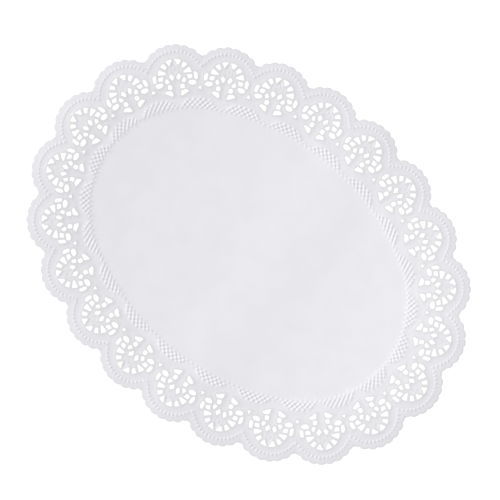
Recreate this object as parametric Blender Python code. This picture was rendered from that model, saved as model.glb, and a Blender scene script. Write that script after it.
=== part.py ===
"""Oval paper doily: one flat sheet of paper with a scalloped edge and a border pierced like lace.

The sheet lies on the XY plane, +Z up, its long axis along X and its underside at Z = 0.
The border is one fan-shaped medallion repeated round an oval, in steps that are a little shorter
towards the ends of the long axis. A medallion is drawn in its own frame: x runs along the oval, y
points away from the doily's middle, and the origin is the medallion's place on the oval. The
larger windows of the lace are cut through.
"""

import math
from typing import NamedTuple

import bpy
from mathutils import Matrix, Vector

MM = 0.001

# The oval that the scallops' crests reach. Two crests stand on its long axis, and the short
# axis runs through gaps, so the sheet itself is a little narrower than WIDTH.
LENGTH = 356 * MM
WIDTH = 276 * MM
THICKNESS = 1 * MM
MEDALLIONS = 22
END_RADIUS = 98 * MM  # bend of the oval that the medallions stand on, at its two ends
EASE = 1.4 * MM  # how far a medallion is moved towards the nearer end, at most
UPRIGHT = math.radians(2.1)  # turn of the medallions beside the short axis

# The scalloped edge of one medallion: picots (small lobes) round an arc.
SCALLOP_CENTRE_Y = -1.5 * MM
CREST_RADIUS = 26.8 * MM
NOTCH_RADIUS = 25.6 * MM
PICOT_STEP = math.radians(15.2)
WHOLE_PICOTS = 6
LOBE_POINTS = 2  # points on the round top of a picot
SHOULDER_STEPS = 0.19  # of a picot, from the last notch to where the edge turns into the valley
VALLEY_HEIGHT = 15.7 * MM  # outwards from the oval, between two medallions
VALLEY_HALF_WIDTH = 0.4 * MM

PAPER_COLOUR = (0.80, 0.79, 0.84, 1.0)
PAPER_ROUGHNESS = 0.85


class Window(NamedTuple):
    """A straight-sided window in the left half of a medallion, corners in millimetres."""

    name: str
    corners: tuple[tuple[float, float], ...]


WINDOWS = (
    Window("fan wedge", ((-6.0, 12.8), (-3.3, 9.2), (-2.1, 11.4), (-1.0, 13.0), (-1.1, 14.0))),
    Window("fan block", ((-7.7, 11.5), (-10.5, 9.2), (-6.6, 6.4), (-5.3, 8.5))),
    Window("fan keystone", ((-11.5, 7.3), (-12.9, 5.1), (-12.6, 2.8), (-6.6, 2.9), (-6.4, 4.3))),
    Window(
        "side half-moon",
        ((-15.7, 2.9), (-14.2, 2.7), (-14.1, -2.0), (-15.5, -3.0), (-16.6, -2.4), (-16.9, 1.2)),
    ),
    Window(
        "low oval",
        ((-13.8, -3.3), (-10.3, -3.1), (-9.4, -4.3), (-10.2, -5.9), (-12.2, -6.8), (-14.8, -6.0)),
    ),
    Window("stem square", ((-6.3, -8.1), (-3.4, -8.3), (-2.9, -6.6), (-3.6, -5.0), (-6.3, -5.1))),
    Window("foot", ((-9.4, -10.9), (-4.3, -13.6), (-2.6, -13.7), (-3.4, -9.8), (-7.25, -9.05))),
)


class Oval(NamedTuple):
    """A four-centre oval: two end arcs and two side arcs that run smoothly into each other."""

    end_radius: float
    side_radius: float
    end_centre_x: float
    side_centre_y: float
    junction: float  # direction of the normal where an end arc meets a side arc

    def end_arc(self) -> float:
        """Length of a quarter's share of an end arc."""
        return self.end_radius * self.junction

    def quarter(self) -> float:
        """Length of a quarter of the oval."""
        return self.end_arc() + self.side_radius * (math.pi / 2 - self.junction)

    def place(self, along: float) -> Matrix:
        """The frame at a distance along the oval from its +X end, counter-clockwise."""
        turns, rest = divmod(along, 2 * self.quarter())
        mirrored = rest > self.quarter()
        if mirrored:
            rest = 2 * self.quarter() - rest
        if rest < self.end_arc():
            normal = rest / self.end_radius
            centre, radius = Vector((self.end_centre_x, 0)), self.end_radius
        else:
            normal = self.junction + (rest - self.end_arc()) / self.side_radius
            centre, radius = Vector((0, -self.side_centre_y)), self.side_radius
        point = centre + radius * Vector((math.cos(normal), math.sin(normal)))
        if mirrored:
            point.x = -point.x
            normal = math.pi - normal
        half_turn = Matrix.Rotation(turns * math.pi, 4, "Z")
        upright = Matrix.Rotation(normal - math.pi / 2, 4, "Z")
        return half_turn @ Matrix.Translation(point.to_3d()) @ upright


def four_centre_oval(half_length: float, half_width: float, end_radius: float) -> Oval:
    """The oval of these half axes whose side arcs are tangent to its end arcs."""
    end_x = half_length - end_radius
    squares = end_x**2 + half_width**2 - end_radius**2
    side_radius = squares / (2 * (half_width - end_radius))
    side_y = side_radius - half_width
    return Oval(end_radius, side_radius, end_x, side_y, math.atan2(side_y, end_x))


class Border(NamedTuple):
    """The border's repeat: where its medallions and the gaps between them stand."""

    oval: Oval
    pitch: float

    def station(self, step: float) -> float:
        """Distance along the oval of a medallion, or of a gap at a half step."""
        along = step * self.pitch
        return along - EASE * math.sin(math.pi * along / self.oval.quarter())

    def medallion(self, index: int) -> Matrix:
        """The frame of a medallion."""
        frame = self.oval.place(self.station(index))
        past_short_axis = index % (MEDALLIONS / 2) - MEDALLIONS / 4
        if abs(past_short_axis) > 1:
            return frame
        return frame @ Matrix.Rotation(math.copysign(UPRIGHT, -past_short_axis), 4, "Z")

    def gap(self, index: int) -> Matrix:
        """The frame halfway between a medallion and the next one."""
        return self.oval.place(self.station(index + 0.5))


def on_scallop(angle: float, radius: float) -> Vector:
    """A point at an angle from straight out, counter-clockwise, round the scallop's centre."""
    return Vector((-radius * math.sin(angle), SCALLOP_CENTRE_Y + radius * math.cos(angle), 0))


def picot_lobe(start: float) -> list[Vector]:
    """The points of one picot that starts at a notch: the notch, then the round top."""
    points = [on_scallop(start, NOTCH_RADIUS)]
    for step in range(LOBE_POINTS):
        share = (step + 0.5) / LOBE_POINTS
        points.append(on_scallop(start + share * PICOT_STEP, CREST_RADIUS))
    return points


def scallop_edge() -> list[Vector]:
    """The edge of one medallion from its right shoulder to its left one, counter-clockwise."""
    first_notch = -WHOLE_PICOTS / 2 * PICOT_STEP
    shoulder = -first_notch + SHOULDER_STEPS * PICOT_STEP
    edge = [on_scallop(-shoulder, CREST_RADIUS)]
    for picot in range(WHOLE_PICOTS):
        edge += picot_lobe(first_notch + picot * PICOT_STEP)
    edge.append(on_scallop(-first_notch, NOTCH_RADIUS))
    edge.append(on_scallop(shoulder, CREST_RADIUS))
    return edge


def valley_edge() -> list[Vector]:
    """The bottom of the valley between two medallions, in the frame halfway between them."""
    return [Vector((side * VALLEY_HALF_WIDTH, VALLEY_HEIGHT, 0)) for side in (1, -1)]


def outer_edge(border: Border) -> list[Vector]:
    """The doily's whole outline."""
    edge = []
    for index in range(MEDALLIONS):
        edge += [border.medallion(index) @ point for point in scallop_edge()]
        edge += [border.gap(index) @ point for point in valley_edge()]
    return edge


def lace_windows(border: Border) -> list[list[Vector]]:
    """The outlines of all windows: each medallion's left half and its mirror image."""
    mirror = Matrix.Scale(-1, 4, (1, 0, 0))
    outlines = []
    for index in range(MEDALLIONS):
        medallion = border.medallion(index)
        for window in WINDOWS:
            corners = [Vector((x, y, 0)) * MM for x, y in window.corners]
            outlines.append([medallion @ corner for corner in corners])
            outlines.append([medallion @ mirror @ corner for corner in reversed(corners)])
    return outlines


def add_loop(curve: bpy.types.Curve, points: list[Vector]) -> None:
    """Adds one closed straight-sided loop to a flat curve."""
    loop = curve.splines.new("POLY")
    loop.points.add(len(points) - 1)
    for corner, point in zip(loop.points, points):
        corner.co = (point.x, point.y, 0, 1)
    loop.use_cyclic_u = True


def paper_material() -> bpy.types.Material:
    """Matt white paper."""
    material = bpy.data.materials.new("paper")
    material.use_nodes = True
    shader = material.node_tree.nodes["Principled BSDF"]
    shader.inputs["Base Color"].default_value = PAPER_COLOUR
    shader.inputs["Roughness"].default_value = PAPER_ROUGHNESS
    shader.inputs["Metallic"].default_value = 0
    return material


def make_doily(collection: bpy.types.Collection) -> bpy.types.Object:
    """The sheet: a flat outline with its windows, as thick as THICKNESS, resting on Z = 0."""
    reach = SCALLOP_CENTRE_Y + CREST_RADIUS * math.cos(PICOT_STEP / 2 / LOBE_POINTS)
    oval = four_centre_oval(LENGTH / 2 - reach, WIDTH / 2 - reach, END_RADIUS)
    border = Border(oval, 4 * oval.quarter() / MEDALLIONS)
    curve = bpy.data.curves.new("doily", "CURVE")
    curve.dimensions = "2D"
    curve.fill_mode = "BOTH"
    curve.extrude = THICKNESS / 2
    add_loop(curve, outer_edge(border))
    for outline in lace_windows(border):
        add_loop(curve, outline)
    curve.materials.append(paper_material())
    doily = bpy.data.objects.new("doily", curve)
    doily.location.z = THICKNESS / 2
    collection.objects.link(doily)
    weld = doily.modifiers.new("join caps and sides", "WELD")
    weld.merge_threshold = 0.01 * MM
    return doily


def main() -> None:
    for leftover in list(bpy.data.objects):
        bpy.data.objects.remove(leftover, do_unlink=True)
    collection = bpy.data.collections.new("oval paper doily")
    bpy.context.scene.collection.children.link(collection)
    make_doily(collection)


main()
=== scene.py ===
"""An oval paper doily: one sheet of white lace paper, die cut and embossed, lying on a pale table.

The sheet is drawn in plan, in millimetres, with its long axis along X. Twenty-two fan-shaped
medallions stand round an oval, and between the medallions and the plain middle runs a band of
small raised dots. A medallion is drawn in its own frame: x runs along the oval, y points away
from the doily's middle, and the origin is the medallion's place on the oval.

Each feature of the border is a class that says two things: where the sheet needs points, and how
high the paper stands there. The Sheet class lays the points, fills the plan between them, raises
the paper and gives it its thickness.
"""

import logging
import math
from collections.abc import Iterator
from dataclasses import dataclass, field
from enum import Enum
from functools import cached_property
from typing import NamedTuple, Protocol

import bmesh
import bpy
import numpy as np
from mathutils import Matrix, Vector
from mathutils.geometry import delaunay_2d_cdt

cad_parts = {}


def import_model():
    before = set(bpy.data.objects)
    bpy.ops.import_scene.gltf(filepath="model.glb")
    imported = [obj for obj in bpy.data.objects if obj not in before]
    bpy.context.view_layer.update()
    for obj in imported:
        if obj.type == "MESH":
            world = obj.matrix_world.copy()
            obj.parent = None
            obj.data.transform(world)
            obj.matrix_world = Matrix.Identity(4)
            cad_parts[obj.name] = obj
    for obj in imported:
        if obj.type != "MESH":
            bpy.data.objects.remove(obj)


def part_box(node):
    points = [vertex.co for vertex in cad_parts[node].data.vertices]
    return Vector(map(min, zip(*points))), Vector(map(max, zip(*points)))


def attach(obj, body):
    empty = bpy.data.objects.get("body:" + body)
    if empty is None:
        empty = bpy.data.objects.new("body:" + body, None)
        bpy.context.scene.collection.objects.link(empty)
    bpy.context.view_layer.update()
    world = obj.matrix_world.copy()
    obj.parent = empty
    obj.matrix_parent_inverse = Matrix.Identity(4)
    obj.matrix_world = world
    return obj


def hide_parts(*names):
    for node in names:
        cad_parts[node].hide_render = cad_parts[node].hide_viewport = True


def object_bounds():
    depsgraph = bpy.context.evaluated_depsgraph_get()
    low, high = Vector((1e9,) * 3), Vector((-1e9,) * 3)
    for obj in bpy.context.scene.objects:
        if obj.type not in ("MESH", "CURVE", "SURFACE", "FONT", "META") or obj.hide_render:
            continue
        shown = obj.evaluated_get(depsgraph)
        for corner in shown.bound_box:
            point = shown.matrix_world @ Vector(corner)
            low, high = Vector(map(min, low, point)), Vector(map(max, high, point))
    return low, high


MM = 0.001
CRUSH_AND_SHADE = "crush_and_shade"  # the sheet's attribute that says how far the paper is darkened: partly the die's crushing, partly painted shade

log = logging.getLogger("doily")


def add_object(name: str, data: bpy.types.ID) -> bpy.types.Object:
    """Makes an object of a mesh, a lamp or a camera and puts it in the scene.

    Args:
        name: The new object's name.
        data: Its mesh, lamp or camera.

    Returns:
        The object, linked to the scene.
    """
    added = bpy.data.objects.new(name, data)
    bpy.context.scene.collection.objects.link(added)
    return added


def set_inputs(node: bpy.types.Node, **values: object) -> None:
    """Sets a node's inputs, named as on the node but with underscores for spaces."""
    for name, value in values.items():
        node.inputs[name.replace("_", " ")].default_value = value


# ---------------------------------------------------------------- lines of the border


class Half(Enum):
    """The two mirrored halves of a medallion."""

    LEFT = 1
    RIGHT = -1


@dataclass(frozen=True)
class Oval:
    """A four-centre oval: two end arcs and two side arcs that run smoothly into each other."""

    half_length: float
    half_width: float
    end_radius: float

    @cached_property
    def end_x(self) -> float:
        """How far the end arcs' centres stand from the middle."""
        return self.half_length - self.end_radius

    @cached_property
    def side_radius(self) -> float:
        """Radius of the side arcs, which are tangent to the end arcs."""
        squares = self.end_x**2 + self.half_width**2 - self.end_radius**2
        return squares / (2 * (self.half_width - self.end_radius))

    @cached_property
    def side_y(self) -> float:
        """How far the side arcs' centres stand beyond the middle."""
        return self.side_radius - self.half_width

    @cached_property
    def junction(self) -> float:
        """Direction of the normal where an end arc meets a side arc."""
        return math.atan2(self.side_y, self.end_x)

    @cached_property
    def end_arc(self) -> float:
        """Length of a quarter's share of an end arc."""
        return self.end_radius * self.junction

    @cached_property
    def quarter(self) -> float:
        """Length of a quarter of the oval."""
        return self.end_arc + self.side_radius * (math.pi / 2 - self.junction)

    def parallel(self, offset: float) -> "Oval":
        """The oval that runs at a fixed distance outwards from this one."""
        sizes = (self.half_length, self.half_width, self.end_radius)
        return Oval(*(size + offset for size in sizes))

    def place(self, along: float) -> Matrix:
        """The frame at a point of the oval.

        Args:
            along: Distance from the +X end, counter-clockwise.

        Returns:
            A matrix with its origin on the oval and its y axis pointing outwards.
        """
        turns, rest = divmod(along, 2 * self.quarter)
        mirrored = rest > self.quarter
        if mirrored:
            rest = 2 * self.quarter - rest
        if rest < self.end_arc:
            normal = rest / self.end_radius
            centre, radius = Vector((self.end_x, 0)), self.end_radius
        else:
            normal = self.junction + (rest - self.end_arc) / self.side_radius
            centre, radius = Vector((0, -self.side_y)), self.side_radius
        point = centre + radius * Vector((math.cos(normal), math.sin(normal)))
        if mirrored:
            point.x = -point.x
            normal = math.pi - normal
        half_turn = Matrix.Rotation(turns * math.pi, 4, "Z")
        upright = Matrix.Rotation(normal - math.pi / 2, 4, "Z")
        return half_turn @ Matrix.Translation(point.to_3d()) @ upright

    def locate(self, points: np.ndarray) -> tuple[np.ndarray, np.ndarray]:
        """Where points of the plan stand against the oval.

        Args:
            points: One row of x and y for each point.

        Returns:
            The distance along the oval, and the offset outwards from it, of each point.
        """
        folded = np.abs(points)
        on_side = np.arctan2(folded[:, 1] + self.side_y, folded[:, 0]) > self.junction
        reach = folded - np.where(on_side[:, None], (0, -self.side_y), (self.end_x, 0))
        normal = np.arctan2(reach[:, 1], reach[:, 0])
        side_run = self.end_arc + (normal - self.junction) * self.side_radius
        along = np.where(on_side, side_run, normal * self.end_radius)
        along = np.where(points[:, 0] < 0, 2 * self.quarter - along, along)
        along = np.where(points[:, 1] < 0, 4 * self.quarter - along, along)
        radius = np.where(on_side, self.side_radius, self.end_radius)
        return along, np.hypot(reach[:, 0], reach[:, 1]) - radius


@dataclass(frozen=True)
class Spots:
    """Points of the plan as the border sees them, one value a point."""

    plan: np.ndarray  # x and y on the sheet
    gap: np.ndarray  # number of the medallion before the nearest gap
    offset: np.ndarray  # outwards from the oval
    x: np.ndarray  # along the oval from the nearest medallion's middle line, without its sign
    y: np.ndarray  # outwards in the nearest medallion's frame
    gap_x: np.ndarray  # along the oval from the nearest gap's middle line, without its sign
    gap_y: np.ndarray  # outwards in the nearest gap's frame
    cell: np.ndarray  # dots of the band counted from the gap before the medallion
    cells: np.ndarray  # dots of the band from that gap to the next one


@dataclass(frozen=True)
class Border:
    """The border's repeat: where its medallions and the gaps between them stand.

    The medallions stand a little closer towards the ends of the long axis, and the two on each
    side of the short axis stand more upright than the oval's own frames.
    """

    oval: Oval
    repeats: int = 22
    ease: float = 1.4  # how far a medallion is moved towards the nearer end, at most
    upright: float = math.radians(2.1)  # turn of the medallions beside the short axis
    band_offset: float = -21.0  # the band's dots are counted along this line
    dot_pitch: float = 3.8

    @cached_property
    def pitch(self) -> float:
        """Distance along the oval from one medallion to the next."""
        return 4 * self.oval.quarter / self.repeats

    @cached_property
    def band(self) -> Oval:
        """The line along which the band's dots are counted."""
        return self.oval.parallel(self.band_offset)

    def station(self, step: float) -> float:
        """Distance along the oval of a medallion, or of a gap at a half step."""
        along = step * self.pitch
        return along - self.ease * math.sin(math.pi * along / self.oval.quarter)

    def steps(self, along: np.ndarray) -> np.ndarray:
        """The medallion count that distances along the oval have reached."""
        return (along + self.ease * np.sin(math.pi * along / self.oval.quarter)) / self.pitch

    def medallion(self, index: int) -> Matrix:
        """The frame of a medallion.

        Args:
            index: The medallion's number, counter-clockwise from the +X end.

        Returns:
            A matrix with its origin on the oval and its y axis pointing outwards.
        """
        frame = self.oval.place(self.station(index))
        past_short_axis = index % (self.repeats / 2) - self.repeats / 4
        if abs(past_short_axis) > 1:
            return frame
        return frame @ Matrix.Rotation(math.copysign(self.upright, -past_short_axis), 4, "Z")

    def gap(self, index: int) -> Matrix:
        """The frame halfway between a medallion and the next one."""
        return self.oval.place(self.station(index + 0.5))

    def repeated(self, row: np.ndarray) -> Iterator[np.ndarray]:
        """A row of points of one half, placed on both halves of every medallion.

        Args:
            row: Points of one half, in the medallion's frame.

        Yields:
            The row's points on the sheet, for one half of a medallion after another.
        """
        for index in range(self.repeats):
            for half in Half:
                yield placed(self.medallion(index), mirrored(row, half))

    def locate(self, points: np.ndarray) -> Spots:
        """Where points of the plan stand in the border's repeat.

        Args:
            points: One row of x and y for each point.

        Returns:
            The points' places against the oval, the nearest medallion, gap and dots.
        """
        along, offset = self.oval.locate(points)
        nearest = np.rint(self.steps(along)).astype(int) % self.repeats
        nearest_gap = np.floor(self.steps(along)).astype(int) % self.repeats
        every = range(self.repeats)
        x, y = in_frames(points, nearest, [self.medallion(i) for i in every])
        gap_x, gap_y = in_frames(points, nearest_gap, [self.gap(i) for i in every])

        round_band = 4 * self.band.quarter
        gaps = np.array([self.gap(i).translation.xy for i in range(-1, self.repeats)])
        starts, _ = self.band.locate(gaps)
        runs = np.diff(starts) % round_band
        cells = np.rint(runs / self.dot_pitch)
        band_along, _ = self.band.locate(points)
        travelled = (band_along - starts[nearest]) % round_band
        travelled = np.where(travelled > round_band / 2, 0, travelled)
        cell = travelled / runs[nearest] * cells[nearest]
        sides = np.abs(x), y, np.abs(gap_x), gap_y
        return Spots(points, nearest_gap, offset, *sides, cell, cells[nearest])


# ---------------------------------------------------------------- shapes in plan


def placed(frame: Matrix, points: np.ndarray) -> np.ndarray:
    """Points of a flat frame, put on the sheet."""
    turn = np.array(frame.to_2x2())
    return points @ turn.T + np.array(frame.translation.xy)


def in_frames(
    points: np.ndarray, index: np.ndarray, frames: list[Matrix]
) -> tuple[np.ndarray, np.ndarray]:
    """Each point of the sheet, seen from the frame that its index names.

    Args:
        points: One row of x and y for each point.
        index: The number of each point's frame.
        frames: The frames.

    Returns:
        The points' x and the points' y, each in its point's frame.
    """
    origins = np.array([frame.translation.xy for frame in frames])
    rights = np.array([frame.col[0].xy for frame in frames])
    outs = np.array([frame.col[1].xy for frame in frames])
    reach = points - origins[index]
    return (reach * rights[index]).sum(1), (reach * outs[index]).sum(1)


def mirrored(points: np.ndarray, half: Half) -> np.ndarray:
    """An outline of the left half, or its mirror image in the right half, wound the same way."""
    return points if half is Half.LEFT else (points * (-1, 1))[::-1]


def grown(outline: np.ndarray, distance: float) -> np.ndarray:
    """A counter-clockwise outline with its points moved outwards, square to its sides.

    Args:
        outline: The outline's corners in order.
        distance: How far they move; a negative one moves them inwards.

    Returns:
        The moved corners in the same order.
    """
    before = outline - np.roll(outline, 1, axis=0)
    after = np.roll(outline, -1, axis=0) - outline
    tangent = before / np.linalg.norm(before, axis=1)[:, None]
    tangent = tangent + after / np.linalg.norm(after, axis=1)[:, None]
    length_squared = (tangent**2).sum(1)[:, None]
    outwards = np.column_stack((tangent[:, 1], -tangent[:, 0]))
    return outline + outwards * (2 * distance / length_squared)


def distance_outside(points: np.ndarray, outline: np.ndarray) -> np.ndarray:
    """How far points stand from a closed outline.

    Args:
        points: One row of x and y for each point.
        outline: The outline's corners in order.

    Returns:
        The distance of each point, negative inside the outline.
    """
    start, end = outline, np.roll(outline, -1, axis=0)
    run = end - start
    reach = points[:, None] - start
    share = np.clip((reach * run).sum(2) / (run * run).sum(1), 0, 1)
    away = np.linalg.norm(reach - share[..., None] * run, axis=2).min(1)
    x, y = points[:, 0, None], points[:, 1, None]
    straddles = (start[:, 1] > y) != (end[:, 1] > y)
    rise = np.where(run[:, 1] == 0, 1, run[:, 1])
    crossed = straddles & (x < start[:, 0] + (y - start[:, 1]) * run[:, 0] / rise)
    return np.where(crossed.sum(1) % 2 == 1, -away, away)


def bump(distance: np.ndarray, reach: float) -> np.ndarray:
    """A round hump: 1 at no distance, falling smoothly to 0 at its reach."""
    return np.cos(np.clip(distance / reach, 0, 1) * math.pi / 2) ** 2


def eased(share: np.ndarray) -> np.ndarray:
    """A smooth step: 0 up to no share, and 1 from a whole one."""
    return (1 - np.cos(np.clip(share, 0, 1) * math.pi)) / 2


class PlanPoints(NamedTuple):
    """Points that a feature asks for, and how clear of earlier ones each has to be."""

    points: np.ndarray
    clearance: float


class Planned(Protocol):
    """Whatever needs points of its own in the plan."""

    def plan(self, border: Border) -> Iterator[PlanPoints]:
        """The points that it needs, the most important first.

        Args:
            border: The repeat that the points follow.

        Yields:
            Sets of points, each with its own clearance.
        """


class Feature(Planned, Protocol):
    """An embossed feature of the border."""

    def rise(self, spots: Spots) -> np.ndarray:
        """How high the feature lifts the paper, in millimetres.

        Args:
            spots: Points of the plan as the border sees them.

        Returns:
            One height a point.
        """


# ---------------------------------------------------------------- the lace windows


@dataclass(frozen=True)
class Window:
    """A straight-sided window, drawn in a medallion's left half or in a gap's frame."""

    name: str
    corners: tuple[tuple[float, float], ...]
    rounding: float = 0.75  # along each side, from the corner to where its round starts
    round_segments: int = 3
    spacing: float = 0.9
    inset: float = 0.08  # the cut edge stands this far inside the corners' sides

    def outline(self) -> np.ndarray:
        """The cut edge: the corners rounded with a bevel and the long sides divided.

        Returns:
            One row of x and y for each point, counter-clockwise.
        """
        shape = bmesh.new()
        shape.faces.new([shape.verts.new((x, y, 0)) for x, y in self.corners])
        bmesh.ops.bevel(
            shape, geom=shape.verts[:], offset=self.rounding, offset_type="OFFSET",
            affect="VERTICES", segments=self.round_segments, profile=0.5, material=-1,
            clamp_overlap=True,
        )
        bmesh.ops.remove_doubles(shape, verts=shape.verts, dist=self.rounding / 10)
        for edge in shape.edges[:]:
            cuts = round(edge.calc_length() / self.spacing) - 1
            if cuts > 0:
                bmesh.ops.subdivide_edges(shape, edges=[edge], cuts=cuts)
        shape.normal_update()
        face = next(iter(shape.faces))
        if face.normal.z < 0:
            face.normal_flip()
        points = grown(np.array([loop.vert.co.xy for loop in face.loops]), -self.inset)
        shape.free()
        return points


@dataclass(frozen=True)
class Rim:
    """The raised rim that the die leaves round every window, told by the distance from the cut."""

    edge_height: float = 0.14
    height: float = 0.18
    crest: float = 0.6
    crest_end: float = 0.65
    foot: float = 1.6
    guard: float = 2.5  # a last ring of points keeps the paper past the foot flat
    clearances: tuple[float, ...] = (0.52, 1.0, 1.1)  # of the crest's, foot's and guard's points

    def rise(self, distance: np.ndarray) -> np.ndarray:
        """Height of the paper at a distance from the cut edge.

        Args:
            distance: How far each point stands from the cut edge.

        Returns:
            How far it lifts each point, in millimetres.
        """
        up = np.sin(np.clip(distance / self.crest, 0, 1) * math.pi / 2)
        inner = self.edge_height + (self.height - self.edge_height) * up
        outer = self.height * bump(distance - self.crest_end, self.foot - self.crest_end)
        return np.where(distance < self.crest, inner, outer)


@dataclass(frozen=True)
class Lace:
    """The windows of every medallion, and one more in each gap, with their rims."""

    fan: tuple[Window, ...] = (
        Window(
            "fan wedge",
            ((-6.05, 12.8), (-3.5, 9.1), (-2.5, 9.7), (-2.0, 11.6), (-0.95, 12.9), (-0.9, 14.0)),
            rounding=0.6,
        ),
        Window("fan block", ((-7.7, 11.5), (-10.5, 9.2), (-6.6, 6.4), (-5.3, 8.5))),
        Window(
            "fan keystone",
            ((-11.5, 7.3), (-12.9, 5.1), (-12.6, 2.8), (-6.6, 2.9), (-6.4, 4.3)),
        ),
    )
    windows: tuple[Window, ...] = (
        Window(
            "side half-moon",
            (
                (-15.9, 3.1), (-14.1, 2.9), (-14.05, -2.1), (-15.6, -3.2), (-16.75, -2.6),
                (-17.05, 1.2),
            ),
        ),
        Window("small box", ((-12.6, 1.4), (-12.8, -1.5), (-9.6, -1.9), (-8.5, 1.6))),
        Window(
            "low oval",
            (
                (-13.9, -3.1), (-10.2, -2.95), (-9.2, -4.1), (-9.9, -5.8), (-12.0, -6.95),
                (-14.6, -6.5), (-15.6, -4.8),
            ),
            rounding=0.8,
        ),
        Window("leaf", ((-2.9, 3.5), (-4.7, 0.85), (-2.2, -2.4), (-0.65, 0.4))),
        Window("lozenge", ((-6.5, 0.2), (-8.2, -2.1), (-6.8, -4.35), (-4.2, -3.3))),
        Window(
            "stem square",
            ((-6.4, -8.65), (-3.2, -8.6), (-2.8, -6.6), (-3.5, -4.9), (-6.35, -5.0)),
            rounding=0.95,
        ),
        Window(
            "foot",
            ((-9.4, -10.9), (-4.3, -13.6), (-2.6, -13.7), (-3.4, -9.8), (-7.25, -9.05)),
        ),
    )
    gap_window: Window = Window(
        "gap teardrop", ((0.0, -5.6), (-1.75, -8.6), (1.75, -8.6)), rounding=0.75, spacing=0.8
    )
    rim: Rim = Rim()
    fan_centre: tuple[float, float] = (0, 1.3)
    fan_radius: float = 12.79
    fan_snap: float = 0.45  # a fan window's edge this near the fan's circle follows it
    lowest: float = -17.0  # no rim reaches further in than this

    @cached_property
    def outlines(self) -> list[np.ndarray]:
        """The cut edges in the left half of a medallion.

        Returns:
            One outline for each window, in the medallion's frame.
        """
        outlines = [window.outline() for window in self.windows]
        for window in self.fan:
            reach = window.outline() - self.fan_centre
            radius = np.linalg.norm(reach, axis=1)
            near = radius > self.fan_radius - self.fan_snap
            reach[near] *= (self.fan_radius / radius[near])[:, None]
            outlines.append(reach + self.fan_centre)
        return outlines

    def loops(self, border: Border) -> Iterator[np.ndarray]:
        """The cut edge of every window of the sheet.

        Args:
            border: The repeat that the windows follow.

        Yields:
            The outline of one window after another, on the sheet.
        """
        for index in range(border.repeats):
            medallion, gap = border.medallion(index), border.gap(index)
            for outline in self.outlines:
                for half in Half:
                    yield placed(medallion, mirrored(outline, half))
            yield placed(gap, self.gap_window.outline())

    def distance(self, spots: Spots) -> np.ndarray:
        """How far each point stands from the nearest window, negative inside one.

        Args:
            spots: Points of the plan as the border sees them.

        Returns:
            The distance of each point, infinite for those further in than any rim.
        """
        nearest = np.full(len(spots.x), np.inf)
        close = np.flatnonzero(spots.offset > self.lowest)
        folded = np.column_stack((-spots.x, spots.y))[close]
        for outline in self.outlines:
            nearest[close] = np.minimum(nearest[close], distance_outside(folded, outline))
        folded = np.column_stack((spots.gap_x, spots.gap_y))[close]
        in_gap = distance_outside(folded, self.gap_window.outline())
        nearest[close] = np.minimum(nearest[close], in_gap)
        return nearest

    def plan(self, border: Border) -> Iterator[PlanPoints]:
        """Rings of points round each window: on its rim's crest, at the foot and past it.

        Args:
            border: The repeat that the windows follow.

        Yields:
            The crest's rings of all the windows, then the foot's and the outermost.
        """
        rim = self.rim
        for distance, clearance in zip((rim.crest, rim.foot, rim.guard), rim.clearances):
            for loop in self.loops(border):
                yield PlanPoints(grown(loop, distance), clearance)

    def rise(self, spots: Spots) -> np.ndarray:
        """The rims."""
        return self.rim.rise(np.maximum(self.distance(spots), 0))


# ---------------------------------------------------------------- the scalloped edge


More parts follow.
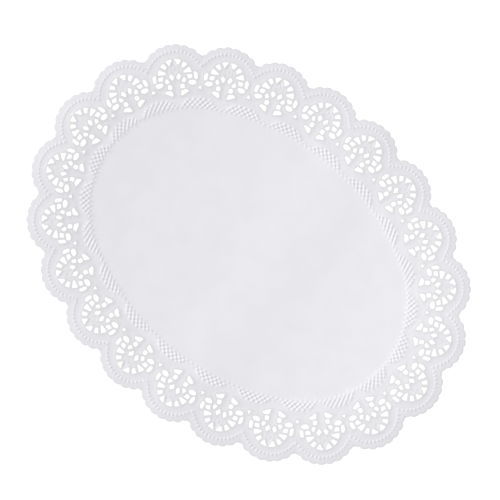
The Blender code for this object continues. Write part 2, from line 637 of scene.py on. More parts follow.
@dataclass(frozen=True)
class Scallop:
    """The scalloped edge: small round picots about each medallion, and a fillet in each gap."""

    centre_y: float = -1.5
    crest_radius: float = 26.8
    notch_depth: float = 1.15
    lobe_power: float = 2.2  # how square the round of a picot is
    picot_step: float = math.radians(15.2)
    whole_picots: int = 6
    shoulder_radius: float = 26.5  # the plain edge past the last notch
    fillet: float = 2.0
    lobe_points: int = 10
    shoulder_points: int = 7
    fillet_steps: int = 6
    rounded: float = 0.8  # the cut edge bends down over this width
    edge_drop: float = 0.1
    clearances: tuple[float, ...] = (0.42, 0.7)  # of the first and second row inside the edge

    @property
    def last_notch(self) -> float:
        """Angle of the last notch from straight out."""
        return self.whole_picots / 2 * self.picot_step

    def radius(self, angle: np.ndarray) -> np.ndarray:
        """The edge's distance from the scallop's centre, at angles from straight out.

        Args:
            angle: Angles from straight out, to either side.

        Returns:
            The distance at each angle.
        """
        angle = np.abs(angle)
        share = np.abs(angle / self.picot_step % 1 - 0.5) * 2
        lobed = self.crest_radius - self.notch_depth * share**self.lobe_power
        past = np.clip((angle - self.last_notch) / self.picot_step * 2, 0, 1)
        notch_radius = self.crest_radius - self.notch_depth
        fall = (self.shoulder_radius - notch_radius) * (1 - past) ** self.lobe_power
        return np.where(angle < self.last_notch, lobed, self.shoulder_radius - fall)

    def centre(self, medallion: Matrix) -> Vector:
        """The scallop's centre on the sheet."""
        return medallion @ Vector((0, self.centre_y, 0))

    def fillet_centre(self, border: Border, index: int) -> Vector:
        """The centre of a gap's fillet, which is tangent to the scallops on both sides.

        Args:
            border: The repeat that the scallops follow.
            index: Number of the medallion before the gap.

        Returns:
            The centre, on the sheet.
        """
        before = self.centre(border.medallion(index))
        after = self.centre(border.medallion(index + 1))
        apart = after - before
        outwards = Vector((apart.y, -apart.x, 0)).normalized()
        span = self.shoulder_radius + self.fillet
        reach = math.sqrt(span**2 - apart.length_squared / 4)
        return (before + after) / 2 + outwards * reach

    def outline(self, border: Border) -> np.ndarray:
        """The sheet's whole cut edge, counter-clockwise.

        Args:
            border: The repeat that the scallops follow.

        Returns:
            One row of x and y for each point.
        """
        edge: list[np.ndarray] = []
        for index in range(border.repeats):
            medallion, tangents = border.medallion(index), []
            for gap in (index - 1, index):
                reach = medallion.inverted() @ self.fillet_centre(border, gap)
                tangents.append(math.atan2(-reach.x, reach.y - self.centre_y))
            edge.append(placed(medallion, self._picots(*tangents)))
            edge.append(self._valley(border, index))
        return np.concatenate(edge)

    def _picots(self, start: float, end: float) -> np.ndarray:
        """One medallion's edge between two angles, in the medallion's frame.

        Args:
            start: Where the fillet before the medallion touches it, from straight out.
            end: Where the fillet after it does.

        Returns:
            One row of x and y for each point.
        """
        step = self.picot_step / self.lobe_points
        inner = np.arange(-self.last_notch, self.last_notch + step / 2, step)
        count = self.shoulder_points
        before = np.linspace(start, -self.last_notch, count, endpoint=False)
        after = np.linspace(end, self.last_notch, count, endpoint=False)[::-1]
        angle = np.concatenate((before, inner, after))
        radius = self.radius(angle)
        across = -radius * np.sin(angle)
        return np.column_stack((across, self.centre_y + radius * np.cos(angle)))

    def _valley(self, border: Border, index: int) -> np.ndarray:
        """The inner points of the fillet between a medallion and the next one.

        Args:
            border: The repeat that the scallops follow.
            index: Number of the medallion before the gap.

        Returns:
            One row of x and y for each point, on the sheet.
        """
        fillet, ends = self.fillet_centre(border, index), []
        for scallop in (index, index + 1):
            reach = self.centre(border.medallion(scallop)) - fillet
            ends.append(math.atan2(reach.y, reach.x))
        turn = (ends[1] - ends[0] + math.pi) % (2 * math.pi) - math.pi
        angle = ends[0] + turn * np.arange(1, self.fillet_steps) / self.fillet_steps
        around = np.column_stack((np.cos(angle), np.sin(angle)))
        return np.array(fillet.xy) + self.fillet * around

    def inside(self, spots: Spots, border: Border) -> np.ndarray:
        """How far each point stands inside the sheet's edge.

        Args:
            spots: Points of the plan as the border sees them.
            border: The repeat that the scallops follow.

        Returns:
            One distance a point, negative off the sheet.
        """
        reach = spots.y - self.centre_y
        to_edge = self.radius(np.arctan2(spots.x, reach)) - np.hypot(spots.x, reach)
        to_scallop = np.where(reach > 0, to_edge, np.inf)
        every = range(border.repeats)
        fillets = np.array([self.fillet_centre(border, index).xy for index in every])
        to_fillet = np.linalg.norm(spots.plan - fillets[spots.gap], axis=1) - self.fillet
        return np.minimum(to_scallop, to_fillet)

    def plan(self, border: Border) -> Iterator[PlanPoints]:
        """Two rows of points just inside the edge.

        Args:
            border: The repeat that the scallops follow.

        Yields:
            The outer row, then the inner one.
        """
        outline = self.outline(border)
        for row, clearance in enumerate(self.clearances, 1):
            yield PlanPoints(grown(outline, -row * self.rounded), clearance)

    def drop(self, inside: np.ndarray) -> np.ndarray:
        """How far the cut edge bends down, by the distance inside it."""
        return self.edge_drop * np.clip(1 - inside / self.rounded, 0, 1) ** 2


# ---------------------------------------------------------------- beads, ridges and dots


@dataclass(frozen=True)
class BeadRow:
    """A row of round beads inside each scallop, each with a rib outwards, and one in each gap."""

    centre_y: float = -1.54
    radius: float = 21.2
    step: float = math.radians(7.85)
    per_side: int = 8
    gap_offset: float = 8.6
    reach: float = 1.2
    height: float = 0.45
    rib_focus: float = 9.3  # the ribs point away from this height on the middle line
    rib_length: float = 3.2
    rib_height: float = 0.3
    rib_half_width: float = 0.75
    guard_radius: float = 19.3  # a row of points inside the beads keeps the paper there flat
    guard_spacing: float = 1.3
    rings: tuple[tuple[float, int], ...] = ((0, 1), (0.5, 5), (1, 6))  # share of reach, points
    clearance: float = 0.4
    rib_clearance: float = 0.5
    guard_clearance: float = 0.7

    def centres(self) -> np.ndarray:
        """The beads' centres in the right half of a medallion's frame.

        Returns:
            One row of x and y for each bead, from the middle line outwards.
        """
        angle = (np.arange(self.per_side) + 0.5) * self.step
        across = self.radius * np.sin(angle)
        return np.column_stack((across, self.centre_y + self.radius * np.cos(angle)))

    def _rib(self, centre: np.ndarray) -> np.ndarray:
        """The direction of a bead's rib."""
        away = centre - (0, self.rib_focus)
        return away / np.linalg.norm(away)

    def _bead_points(self) -> Iterator[np.ndarray]:
        """A bead's middle and two rings round it, about its own centre.

        Yields:
            The points of one ring after another.
        """
        for share, sides in self.rings:
            angle = 2 * math.pi * np.arange(sides) / sides
            yield np.column_stack((np.cos(angle), np.sin(angle))) * share * self.reach

    def plan(self, border: Border) -> Iterator[PlanPoints]:
        """The beads' middles and rings, each rib's row and one beside it, and the guard row.

        Args:
            border: The repeat that the beads follow.

        Yields:
            One ring of a bead, or one row, after another.
        """
        for ring in self._bead_points():
            for index in range(border.repeats):
                for half in Half:
                    for centre in mirrored(self.centres(), half):
                        bead = placed(border.medallion(index), ring + centre)
                        yield PlanPoints(bead, self.clearance)
                bead = placed(border.gap(index), ring + (0, self.gap_offset))
                yield PlanPoints(bead, self.clearance)
        run = np.linspace(self.reach, self.rib_length, 3)[:, None]
        for centre in self.centres():
            rib = self._rib(centre)
            beside = np.array((rib[1], -rib[0])) * self.rib_half_width
            for row in (centre + run * rib, centre + run * rib + beside):
                for points in border.repeated(row):
                    yield PlanPoints(points, self.rib_clearance)
        reach = self.per_side * self.step
        angle = np.arange(-reach, reach, self.guard_spacing / self.guard_radius)
        row = np.column_stack((np.sin(angle), np.cos(angle))) * self.guard_radius
        for index in range(border.repeats):
            points = placed(border.medallion(index), row + (0, self.centre_y))
            yield PlanPoints(points, self.guard_clearance)

    def rise(self, spots: Spots) -> np.ndarray:
        """The beads' domes and the ribs that run out from them.

        Args:
            spots: Points of the plan as the border sees them.

        Returns:
            How far they lift each point, in millimetres.
        """
        here = np.column_stack((spots.x, spots.y))
        height = np.zeros(len(here))
        for centre in self.centres():
            reach = here - centre
            dome = self.height * bump(np.linalg.norm(reach, axis=1), self.reach)
            rib = self._rib(centre)
            along = reach @ rib
            across = np.abs(reach @ np.array((rib[1], -rib[0])))
            fade = np.where(along > 0, 1 - along / self.rib_length, 0)
            back = self.rib_height * np.clip(fade, 0, 1) * bump(across, self.rib_half_width)
            height = np.maximum(height, np.maximum(dome, back))
        away = np.hypot(spots.gap_x, spots.gap_y - self.gap_offset)
        return np.maximum(height, self.height * bump(away, self.reach))


@dataclass(frozen=True)
class Ridge:
    """A raised line through named points, drawn in the left half of a medallion."""

    name: str
    points: tuple[tuple[float, float], ...]
    height: float
    half_width: float
    spacing: float = 0.8
    clearance: float = 0.4
    smoothings: int = 3

    @cached_property
    def line(self) -> np.ndarray:
        """The points of the line, joined smoothly and evenly spaced.

        Returns:
            One row of x and y for each point, in the medallion's frame.
        """
        corners = np.array(self.points)
        for _ in range(self.smoothings):
            quarter = corners[:-1] * 0.75 + corners[1:] * 0.25
            three_quarters = corners[:-1] * 0.25 + corners[1:] * 0.75
            cut = np.stack((quarter, three_quarters), axis=1).reshape(-1, 2)
            corners = np.concatenate((corners[:1], cut, corners[-1:]))
        run = np.r_[0, np.cumsum(np.linalg.norm(np.diff(corners, axis=0), axis=1))]
        even = np.linspace(0, run[-1], max(2, round(run[-1] / self.spacing)) + 1)
        return np.column_stack([np.interp(even, run, corners[:, axis]) for axis in (0, 1)])

    def plan(self, border: Border) -> Iterator[PlanPoints]:
        """A row of points on the line, and one at each foot.

        Args:
            border: The repeat that the ridge follows.

        Yields:
            One row in one half of a medallion after another.
        """
        across = np.gradient(self.line, axis=0)
        across = np.column_stack((-across[:, 1], across[:, 0]))
        across /= np.linalg.norm(across, axis=1)[:, None]
        for side in (0, 1, -1):
            for points in border.repeated(self.line + across * side * self.half_width):
                yield PlanPoints(points, self.clearance)

    def rise(self, spots: Spots) -> np.ndarray:
        """The ridge's rounded back.

        Args:
            spots: Points of the plan as the border sees them.

        Returns:
            How far it lifts each point, in millimetres.
        """
        here = np.column_stack((-spots.x, spots.y))
        away = np.full(len(here), np.inf)
        for first, last in zip(self.line, self.line[1:]):
            run = last - first
            share = np.clip((here - first) @ run / (run @ run), 0, 1)
            reach = here - first - share[:, None] * run
            away = np.minimum(away, np.linalg.norm(reach, axis=1))
        return self.height * bump(away, self.half_width)


@dataclass(frozen=True)
class DotBand:
    """The raised band round the plain middle, with its small dots and hollows.

    In each gap it widens into a field of dots under a flat arch; past the fields it is narrow.
    """

    first_row: float = -16.55  # offset of the outermost row of dots
    row_pitch: float = 4.0  # from one row of dots to the next but one
    inner_edge: float = -23.4
    inner_fade: float = 1.7  # the dots fade over this width into the plain middle
    ring_edge: float = -21.1  # past the fields of dots, one row runs on round the middle
    arch_radius: float = 8.9
    arch_centre: float = -24.1
    arch_flatness: float = 0.68  # of an arch's height to half its width
    soft_edge: float = 0.6
    height: float = 0.34
    step: float = 0.13  # of the whole band over the paper beside it
    step_width: float = 1.3
    step_lead: float = 0.6  # share of the step's width that lies outside the outer line
    groove: float = 0.06
    groove_offset: float = 1.1  # of its middle, outside the outer line
    groove_half_width: float = 0.8
    groove_from: float = 2.0  # it keeps this far from the inner edge
    steps: int = 6  # points to one dot's pitch
    clearance: float = 0.42
    margin: float = 0.4  # the fine grid runs this far past the band
    beside: float = 2.0  # and a sparse one this far
    sparse_clearance: float = 1.5

    def _inside(self, spots: Spots) -> np.ndarray:
        """How far inside the band's outer line each point is.

        Args:
            spots: Points of the plan as the border sees them.

        Returns:
            The distance of each point, negative outside the line.
        """
        across = spots.gap_x * self.arch_flatness
        arch = self.arch_radius - np.hypot(across, spots.gap_y - self.arch_centre)
        return np.maximum(arch, self.ring_edge - spots.offset)

    def plan(self, border: Border) -> Iterator[PlanPoints]:
        """A grid of points that falls on every dot and hollow, and sparse ones beside it.

        Args:
            border: The repeat that the dots follow.

        Yields:
            The band's own points, then the sparse ones.
        """
        first, last = self.first_row + self.beside, self.inner_edge - self.inner_fade
        rows = np.arange(first, last, -self.row_pitch / self.steps)
        gaps = np.array([border.gap(i).translation.xy for i in range(-1, border.repeats)])
        points = []
        for offset in rows:
            line = border.oval.parallel(float(offset))
            starts, _ = line.locate(gaps)
            for begin, run in zip(starts, np.diff(starts) % (4 * line.quarter)):
                count = round(run * self.steps / border.dot_pitch)
                for step in range(count):
                    points.append(line.place(begin + run * step / count).translation.xy)
        laid = np.array(points)
        spots = border.locate(laid)
        inside = np.minimum(self._inside(spots), spots.offset - self.inner_edge)
        yield PlanPoints(laid[inside > -self.margin], self.clearance)
        sparse = (inside < -self.margin) & (inside > -self.beside)
        yield PlanPoints(laid[sparse], self.sparse_clearance)

    def relief(self, spots: Spots) -> np.ndarray:
        """The dots and hollows alone: 1 on a dot, -1 in a hollow and 0 off the band.

        Args:
            spots: Points of the plan as the border sees them.

        Returns:
            One value a point.
        """
        outer, inner = self._inside(spots), spots.offset - self.inner_edge
        strength = np.clip(outer / self.soft_edge + 0.5, 0, 1)
        strength = strength * np.clip(inner / self.inner_fade, 0, 1)
        along = np.cos(2 * math.pi * spots.cell)
        across = np.cos(2 * math.pi * (spots.offset - self.first_row) / self.row_pitch)
        return strength * along * across

    def rise(self, spots: Spots) -> np.ndarray:
        """The band's step, its dots and hollows, and the thin groove along its outer side.

        Args:
            spots: Points of the plan as the border sees them.

        Returns:
            How far it lifts each point, in millimetres.
        """
        outer, inner = self._inside(spots), spots.offset - self.inner_edge
        step = eased(outer / self.step_width + self.step_lead) * eased(inner / self.inner_fade)
        groove = bump(np.abs(outer + self.groove_offset), self.groove_half_width)
        groove = np.where(inner > self.groove_from, groove, 0)
        return self.step * step + self.height * self.relief(spots) - self.groove * groove


# ---------------------------------------------------------------- the sheet


@dataclass
class PointBed:
    """The plan's points, laid one after another and kept clear of those laid before."""

    square: float = 1.0
    points: list[tuple[float, float]] = field(default_factory=list)
    squares: dict[tuple[int, int], list[int]] = field(default_factory=dict)

    def _square_of(self, x: float, y: float) -> tuple[int, int]:
        """The square of the bed that a point falls in."""
        return math.floor(x / self.square), math.floor(y / self.square)

    def lay(self, x: float, y: float) -> None:
        """Lays a point whatever is near it."""
        self.squares.setdefault(self._square_of(x, y), []).append(len(self.points))
        self.points.append((x, y))

    def is_clear(self, x: float, y: float, clearance: float) -> bool:
        """Whether no point lies nearer than the clearance.

        Args:
            x: The place's x.
            y: The place's y.
            clearance: How near a point may lie.

        Returns:
            True when all the points laid so far are at least that far away.
        """
        column, row = self._square_of(x, y)
        span = math.ceil(clearance / self.square)
        for i in range(column - span, column + span + 1):
            for j in range(row - span, row + span + 1):
                for index in self.squares.get((i, j), ()):
                    other = self.points[index]
                    if (other[0] - x) ** 2 + (other[1] - y) ** 2 < clearance**2:
                        return False
        return True

    def lay_clear(self, points: np.ndarray, clearance: float) -> None:
        """Lays those points that are clear of all the earlier ones.

        Args:
            points: One row of x and y for each point.
            clearance: How near to another point each may lie.
        """
        for x, y in points.tolist():
            if self.is_clear(x, y, clearance):
                self.lay(x, y)


@dataclass(frozen=True)
class Crown:
    """The slow round of the border: a low step under the dots, a climb, and a bend to the table."""

    step_offset: float = -24.1
    step: float = 0.08
    step_width: float = 2.0
    climb: float = 0.05
    climb_from: float = -17.0
    top: float = -6.0
    bend: float = 0.0014  # millimetres down for each square millimetre past the top

    def rise(self, offset: np.ndarray) -> np.ndarray:
        """How high the border stands over the plain middle.

        Args:
            offset: How far outwards from the oval each point stands.

        Returns:
            How far it lifts each point, in millimetres.
        """
        step = self.step * eased((offset - self.step_offset) / self.step_width)
        climb = self.climb * eased((offset - self.climb_from) / (self.top - self.climb_from))
        return step + climb - self.bend * np.maximum(offset - self.top, 0) ** 2


class Wave(NamedTuple):
    """One long soft wave of the paper, straight across the sheet."""

    place: float  # of its middle line, from the doily's middle
    heading: float  # direction across the line, in degrees from +X
    half_width: float
    height: float

    def rise(self, plan: np.ndarray) -> np.ndarray:
        """How high the wave lifts the paper.

        Args:
            plan: One row of x and y for each point.

        Returns:
            How far it lifts each point, in millimetres.
        """
        heading = math.radians(self.heading)
        across = plan @ np.array((math.cos(heading), math.sin(heading)))
        return self.height * bump(np.abs(across - self.place), self.half_width)


class Scatter(NamedTuple):
    """Evenly spaced points that fill one stretch of the sheet, between two offsets."""

    spacing: float
    nearest: float
    furthest: float


@dataclass(frozen=True)
class Sheet:
    """The doily itself: the cut plan, filled, embossed and given its thickness."""

    border: Border
    lace: Lace = Lace()
    scallop: Scallop = Scallop()
    beads: BeadRow = BeadRow()
    ridges: tuple[Ridge, ...] = (
        Ridge(
            "petal",
            ((-1.3, 13.4), (-1.6, 12.2), (-2.2, 10.6), (-2.75, 8.8), (-2.95, 6.8), (-2.9, 4.6)),
            height=0.09,
            half_width=0.85,
        ),
        Ridge("brow", ((-1.4, 14.3), (-0.7, 14.4), (-0.05, 14.3)), height=0.12, half_width=0.9),
        Ridge("bud's heart", ((-0.05, 7.5), (-0.05, 7.0)), height=0.28, half_width=1.15),
        Ridge("knot", ((-0.05, 1.4), (-0.05, 1.1)), height=0.26, half_width=1.3),
    )
    dots: DotBand = DotBand()
    crown: Crown = Crown()
    waves: tuple[Wave, ...] = (
        Wave(place=22, heading=3, half_width=42, height=0.6),
        Wave(place=-182, heading=0, half_width=110, height=1.2),
        Wave(place=182, heading=0, half_width=110, height=0.85),
    )
    crush_and_shade_full: float = 0.4  # the paper is darkened fully this far from a cut edge: partly the die's crushing, partly painted shade
    crush_and_shade_fade: float = 1.0
    band_darkening: float = 0.3  # how much darker the paper is made outside the beads
    band_darkening_run: float = 2.0
    border_darkening: float = 0.36  # how much darker it is made everywhere among the windows
    border_darkening_run: float = 3.0
    hollow_shade: float = 0.5  # painted shade: how much darker the hollows between the dots are made
    paper_thickness: float = 0.2
    scatters: tuple[Scatter, ...] = (
        Scatter(spacing=1.65, nearest=30, furthest=-24.6),
        Scatter(spacing=2.8, nearest=-24.6, furthest=-30),
        Scatter(spacing=6.0, nearest=-24.6, furthest=-200),
    )
    scatter_clearance: float = 0.65  # of a scatter's spacing
    scatter_margin: float = 0.6  # from a cut edge
    feature_margin: float = 0.3
    weld: float = 1e-5  # points of the plan this near are one
    crease_angle: float = math.radians(50)

    @property
    def features(self) -> tuple[Feature, ...]:
        """What is embossed, in the order in which its points are laid."""
        return (self.lace, self.beads, *self.ridges, self.dots)

    def _scatter(self, spacing: float) -> np.ndarray:
        """Points evenly spaced in staggered rows over the whole sheet.

        Args:
            spacing: From one point to its neighbours.

        Returns:
            One row of x and y for each point.
        """
        reach_x = self.border.oval.half_length + self.scallop.crest_radius
        reach_y = self.border.oval.half_width + self.scallop.crest_radius
        rows = np.arange(-reach_y, reach_y, spacing * math.sqrt(0.75))
        lines = []
        for row, height in enumerate(rows):
            across = np.arange(-reach_x, reach_x, spacing) + row % 2 * spacing / 2
            lines.append(np.column_stack((across, np.full_like(across, height))))
        return np.concatenate(lines)

    def _lay_if_on_paper(self, bed: PointBed, wanted: PlanPoints, margin: float) -> None:
        """Lays the points that fall on paper, at least a margin from a cut edge.

        Args:
            bed: The points laid so far.
            wanted: The points to lay, and their clearance.
            margin: Least distance from a cut edge.
        """
        spots = self.border.locate(wanted.points)
        on_paper = self.lace.distance(spots) > margin
        on_paper &= self.scallop.inside(spots, self.border) > margin
        bed.lay_clear(wanted.points[on_paper], wanted.clearance)

    def lay_plan(self) -> tuple[PointBed, list[list[int]]]:
        """Lays all the points of the plan.

        Returns:
            The points, and the cut loops as runs of point numbers: the outline first, then
            the windows.
        """
        bed = PointBed()
        cuts = []
        for loop in (self.scallop.outline(self.border), *self.lace.loops(self.border)):
            first = len(bed.points)
            for x, y in loop.tolist():
                bed.lay(x, y)
            cuts.append(list(range(first, len(bed.points))))
        planned: tuple[Planned, ...] = (self.scallop, *self.features)
        for layer in planned:
            batch: dict[float, list[np.ndarray]] = {}
            for wanted in layer.plan(self.border):
                batch.setdefault(wanted.clearance, []).append(wanted.points)
            for clearance, sets in batch.items():
                together = PlanPoints(np.concatenate(sets), clearance)
                self._lay_if_on_paper(bed, together, self.feature_margin)
        for spacing, nearest, furthest in self.scatters:
            points = self._scatter(spacing)
            _, offset = self.border.oval.locate(points)
            within = points[(offset > furthest) & (offset < nearest)]
            wanted = PlanPoints(within, spacing * self.scatter_clearance)
            self._lay_if_on_paper(bed, wanted, self.scatter_margin)
        return bed, cuts

    def rise(self, spots: Spots) -> np.ndarray:
        """How high the top of the paper stands over the plain middle's underside.

        Args:
            spots: Points of the plan as the border sees them.

        Returns:
            One height a point, in millimetres.
        """
        height = self.paper_thickness + self.crown.rise(spots.offset)
        for feature in self.features:
            height += feature.rise(spots)
        for wave in self.waves:
            height += wave.rise(spots.plan)
        return height - self.scallop.drop(self.scallop.inside(spots, self.border))

    def crush_and_shade(self, spots: Spots) -> np.ndarray:
        """Darkening of the paper, partly the die's crushing and partly painted shade: 1 at a cut
        edge, 0 on plain paper.

        Args:
            spots: Points of the plan as the border sees them.

        Returns:
            One value a point.
        """
        inside = self.scallop.inside(spots, self.border)
        from_cut = np.maximum(np.minimum(inside, self.lace.distance(spots)), 0)
        radius = np.hypot(spots.x, spots.y - self.beads.centre_y)
        outer_band = np.where(spots.y > 0, radius - self.beads.radius, 0)
        band = self.band_darkening * np.clip(outer_band / self.band_darkening_run, 0, 1)
        # Darker near every cut edge: partly the die's crushing, partly painted shade.
        near = eased(1 + (self.crush_and_shade_full - from_cut) / self.crush_and_shade_fade)
        # Darker all through the border among the windows.
        past_dots = (spots.offset - self.dots.first_row) / self.border_darkening_run
        among = self.border_darkening * eased(past_dots)
        # Painted shade in the hollows between the dots.
        hollow = self.hollow_shade * np.clip(-self.dots.relief(spots), 0, 1)
        return np.maximum(np.maximum(near, band), np.maximum(among, hollow))

    def build(self, table_height: float) -> bpy.types.Object:
        """Models the doily.

        The plan is filled by a constrained triangulation of its points, because no modelling
        operator fills a sheet with hundreds of windows and keeps the points between them.

        Args:
            table_height: Height of the table's top, in metres.

        Returns:
            The doily's object, in metres, at the origin.
        """
        bed, cuts = self.lay_plan()
        flat = [Vector(point) for point in bed.points]
        points, _, faces, _, _, owners = delaunay_2d_cdt(flat, [], cuts, 0, self.weld)
        on_paper = [face for face, owner in zip(faces, owners) if owner == [0]]
        plan = np.array([point[:] for point in points])
        spots = self.border.locate(plan)
        height = self.rise(spots)
        height -= height.min() - self.paper_thickness
        log.info("plan: %d points, %d triangles a side", len(plan), len(on_paper))

        mesh = bpy.data.meshes.new("doily_sheet")
        mesh.from_pydata(np.column_stack((plan, height)).tolist(), [], on_paper)
        # The darkening attribute: partly the die's crushing, partly painted shade.
        crush_and_shade = mesh.attributes.new(CRUSH_AND_SHADE, "FLOAT", "POINT")
        crush_and_shade.data.foreach_set("value", self.crush_and_shade(spots).astype(np.float32))
        sheet = bmesh.new()
        sheet.from_mesh(mesh)
        loose = [vert for vert in sheet.verts if not vert.link_faces]
        bmesh.ops.delete(sheet, geom=loose, context="VERTS")
        top = sheet.faces[:]
        under = bmesh.ops.extrude_face_region(sheet, geom=top, use_keep_orig=True)
        moved = [item for item in under["geom"] if isinstance(item, bmesh.types.BMVert)]
        bmesh.ops.translate(sheet, vec=(0, 0, -self.paper_thickness), verts=moved)
        bmesh.ops.scale(sheet, vec=(MM, MM, MM), verts=sheet.verts)
        bmesh.ops.translate(sheet, vec=(0, 0, table_height), verts=sheet.verts)
        bmesh.ops.recalc_face_normals(sheet, faces=sheet.faces)
        sheet.to_mesh(mesh)
        sheet.free()
        mesh.shade_smooth()
        mesh.set_sharp_from_angle(angle=self.crease_angle)
        return add_object("doily_sheet", mesh)


# ---------------------------------------------------------------- finishes


@dataclass(frozen=True)
class PaperFinish:
    """Matt white lace paper: faintly mottled, darkened in places partly by the die's crushing and
    partly by painted shade, with short fibres flattened; sizes in metres.
    """

    colour: tuple[float, float, float] = (0.860, 0.847, 0.881)
    shade: tuple[float, float, float] = (0.842, 0.829, 0.863)
    # the darkened paper's colour: partly the die's crushing, partly painted shade
    crushed_and_shaded: tuple[float, float, float] = (0.76, 0.753, 0.764)
    roughness: float = 0.85
    specular: float = 0.25
    mottle_size: float = 0.018
    mottle_detail: float = 4
    mottle_low: float = 0.35
    mottle_high: float = 0.6
    fibre_size: float = 0.0007
    fibre_detail: float = 3
    fibre_depth: float = 0.00003
    fibre_strength: float = 0.5

    def _blend(
        self,
        tree: bpy.types.NodeTree,
        share: bpy.types.NodeSocket,
        first: bpy.types.NodeSocket | tuple[float, float, float],
        second: tuple[float, float, float],
    ) -> bpy.types.NodeSocket:
        """Blends two colours by a share, and gives the socket of the result.

        Args:
            tree: The material's nodes.
            share: A socket that gives the second colour's share.
            first: The first colour, or a socket that gives it.
            second: The second colour.

        Returns:
            The socket of the blended colour.
        """
        blend = tree.nodes.new("ShaderNodeMix")
        blend.data_type = "RGBA"
        tree.links.new(share, blend.inputs["Factor"])
        colours = [socket for socket in blend.inputs if socket.type == "RGBA"]
        if isinstance(first, tuple):
            colours[0].default_value = (*first, 1)
        else:
            tree.links.new(first, colours[0])
        colours[1].default_value = (*second, 1)
        return next(socket for socket in blend.outputs if socket.type == "RGBA")

    def _noise(self, tree: bpy.types.NodeTree, size: float, detail: float) -> bpy.types.NodeSocket:
        """A noise over the object's own coordinates, with features of a size in metres.

        Args:
            tree: The material's nodes.
            size: Of its features, in metres.
            detail: How many finer layers it has.

        Returns:
            The socket of the noise's value.
        """
        place = tree.nodes.new("ShaderNodeTexCoord")
        noise = tree.nodes.new("ShaderNodeTexNoise")
        set_inputs(noise, Scale=1 / size, Detail=detail)
        tree.links.new(place.outputs["Object"], noise.inputs["Vector"])
        return noise.outputs["Fac"]

    def material(self) -> bpy.types.Material:
        """Makes the paper.

        Returns:
            The paper's material.
        """
        material = bpy.data.materials.new("lace_paper")
        material.use_nodes = True
        tree = material.node_tree
        shader = tree.nodes["Principled BSDF"]
        set_inputs(shader, Roughness=self.roughness, Specular_IOR_Level=self.specular)

        spread = tree.nodes.new("ShaderNodeMapRange")
        set_inputs(spread, From_Min=self.mottle_low, From_Max=self.mottle_high)
        mottle = self._noise(tree, self.mottle_size, self.mottle_detail)
        tree.links.new(mottle, spread.inputs["Value"])
        # The paper darkens towards the darker colour by this attribute: partly the die's crushing,
        # partly painted shade.
        crush_and_shade = tree.nodes.new("ShaderNodeAttribute")
        crush_and_shade.attribute_name = CRUSH_AND_SHADE
        plain = self._blend(tree, spread.outputs["Result"], self.shade, self.colour)
        paper = self._blend(tree, crush_and_shade.outputs["Fac"], plain, self.crushed_and_shaded)
        tree.links.new(paper, shader.inputs["Base Color"])

        relief = tree.nodes.new("ShaderNodeBump")
        set_inputs(relief, Strength=self.fibre_strength, Distance=self.fibre_depth)
        fibre = self._noise(tree, self.fibre_size, self.fibre_detail)
        tree.links.new(fibre, relief.inputs["Height"])
        tree.links.new(relief.outputs["Normal"], shader.inputs["Normal"])
        return material


@dataclass(frozen=True)
class TableFinish:
    """The light table's pale top, lit from below."""

    colour: tuple[float, float, float] = (0.04, 0.04, 0.04)
    roughness: float = 0.9
    glow: float = 0.99

    def material(self) -> bpy.types.Material:
        """Makes the table's top.

        Returns:
            The table top's material.
        """
        material = bpy.data.materials.new("light_table")
        material.use_nodes = True
        shader = material.node_tree.nodes["Principled BSDF"]
        set_inputs(shader, Base_Color=(*self.colour, 1), Roughness=self.roughness)
        set_inputs(shader, Emission_Color=(1, 1, 1, 1), Emission_Strength=self.glow)
        return material


# ---------------------------------------------------------------- table, lights and camera


@dataclass(frozen=True)
class Table:
    """The plain pale table that the doily lies on, in metres."""

    width: float = 3.0
    clearance: float = 0.0001
    finish: TableFinish = TableFinish()

    def build(self, height: float) -> bpy.types.Object:
        """Models the table's top just under the height that the doily rests at.

        Args:
            height: The height that the doily rests at, in metres.

        Returns:
            The table top's object.
        """
        top = bmesh.new()
        bmesh.ops.create_grid(top, x_segments=1, y_segments=1, size=self.width / 2)
        bmesh.ops.translate(top, vec=(0, 0, height - self.clearance), verts=top.verts)
        mesh = bpy.data.meshes.new("table_top")
        top.to_mesh(mesh)
        top.free()
        mesh.materials.append(self.finish.material())
        return add_object("table_top", mesh)


def heading(azimuth: float, elevation: float) -> Vector:
    """The direction at an azimuth and an elevation.

    Args:
        azimuth: Degrees counter-clockwise from +X.
        elevation: Degrees over the table.

    Returns:
        A vector of length one.
    """
    turn, lift = math.radians(azimuth), math.radians(elevation)
    level = math.cos(lift)
    return Vector((level * math.cos(turn), level * math.sin(turn), math.sin(lift)))


@dataclass(frozen=True)
class Studio:
    """A low sun through a soft screen, a small fill lamp across the table, and an even sky.

    Angles are in degrees and distances in metres.
    """

    key_azimuth: float = 195.7
    key_elevation: float = 32.0
    key_spread: float = 15.0
    key_distance: float = 1.0
    key_strength: float = 3.23
    fill_azimuth: float = 25.0
    fill_elevation: float = 36.0
    fill_distance: float = 0.75
    fill_size: float = 0.2
    fill_watts: float = 0.7
    sky: tuple[float, float, float] = (0.96, 0.97, 1.0)
    sky_strength: float = 0.35

    def _hang(self, lamp: bpy.types.Light, direction: Vector, distance: float) -> None:
        """Hangs a lamp in a direction, turned towards the doily's middle.

        Args:
            lamp: The lamp.
            direction: From the doily's middle towards the lamp.
            distance: From that middle, in metres.
        """
        light = add_object(lamp.name, lamp)
        light.location = direction * distance
        light.rotation_euler = direction.to_track_quat("Z", "Y").to_euler()

    def build(self) -> None:
        """Hangs the lamps and paints the sky."""
        key = bpy.data.lights.new("key_light", "SUN")
        key.angle = math.radians(self.key_spread)
        key.energy = self.key_strength
        self._hang(key, heading(self.key_azimuth, self.key_elevation), self.key_distance)
        fill = bpy.data.lights.new("fill_light", "AREA")
        fill.shape = "DISK"
        fill.size = self.fill_size
        fill.energy = self.fill_watts
        self._hang(fill, heading(self.fill_azimuth, self.fill_elevation), self.fill_distance)
        world = bpy.data.worlds.new("studio")
        world.use_nodes = True
        background = world.node_tree.nodes["Background"]
        set_inputs(background, Color=(*self.sky, 1), Strength=self.sky_strength)
        bpy.context.scene.world = world


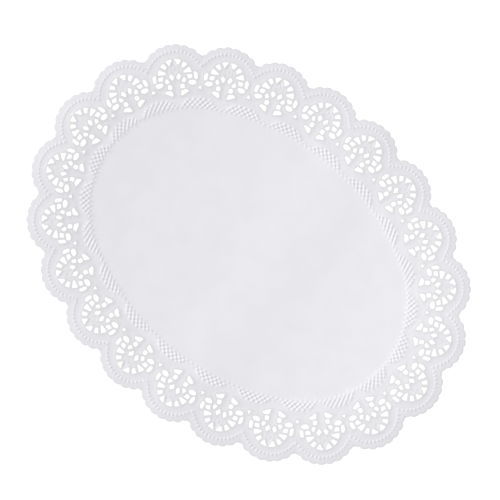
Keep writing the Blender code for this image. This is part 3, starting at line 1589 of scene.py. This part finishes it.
@dataclass(frozen=True)
class Viewpoint:
    """The camera, straight over the doily and turned about its own line of sight."""

    turn: float = 38.76  # in degrees
    height: float = 1.0357  # in metres
    beside: tuple[float, float] = (-0.00135, 0.00323)  # in metres, from straight over the middle
    lens: float = 100.0  # in millimetres, as is the sensor
    sensor_width: float = 36.0

    def build(self, over: Vector) -> None:
        """Sets up the camera over a point.

        Args:
            over: The point, in metres.
        """
        data = bpy.data.cameras.new("camera")
        data.lens = self.lens
        data.sensor_width = self.sensor_width
        camera = add_object("camera", data)
        camera.location = over + Vector((*self.beside, self.height))
        camera.rotation_euler = (0, 0, math.radians(self.turn))
        bpy.context.scene.camera = camera


# ---------------------------------------------------------------- the whole


@dataclass(frozen=True)
class Doily:
    """The finished piece: the sheet, sized from the frame, in its paper."""

    node: str = "doily"
    body: str = "root"
    slot: str = "paper"
    crest_reach: float = 25.24  # from the oval to the outermost picot
    crest_width: float = 276.0  # of the oval that the picots reach
    end_radius: float = 98.0
    flat_area: float = 0.0701  # of the paper, in square metres, with its windows cut out
    finish: PaperFinish = PaperFinish()

    def build(self) -> bpy.types.Object:
        """Returns:
            The doily's object.
        """
        low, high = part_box(self.node)
        length = (high.x - low.x) / MM
        oval = Oval(
            length / 2 - self.crest_reach,
            self.crest_width / 2 - self.crest_reach,
            self.end_radius,
        )
        doily = Sheet(Border(oval)).build(low.z)
        doily.data.materials.append(self.finish.material())
        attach(doily, self.body)
        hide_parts(self.node)
        return doily


def main() -> None:
    """Builds the doily, the table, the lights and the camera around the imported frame."""
    logging.basicConfig(level=logging.INFO, format="%(name)s: %(message)s")
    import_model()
    cad_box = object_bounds()
    low, high = cad_box
    centre = Vector(((low.x + high.x) / 2, (low.y + high.y) / 2, low.z))

    Viewpoint().build(centre)
    Studio().build()
    bpy.context.scene.view_settings.view_transform = "Standard"

    table = Table().build(low.z)
    log.info("table: %.1f m wide", table.dimensions.x)

    doily = Doily().build()
    log.info("doily: %d vertices, %d faces", len(doily.data.vertices), len(doily.data.polygons))


if __name__ == "__main__":
    main()
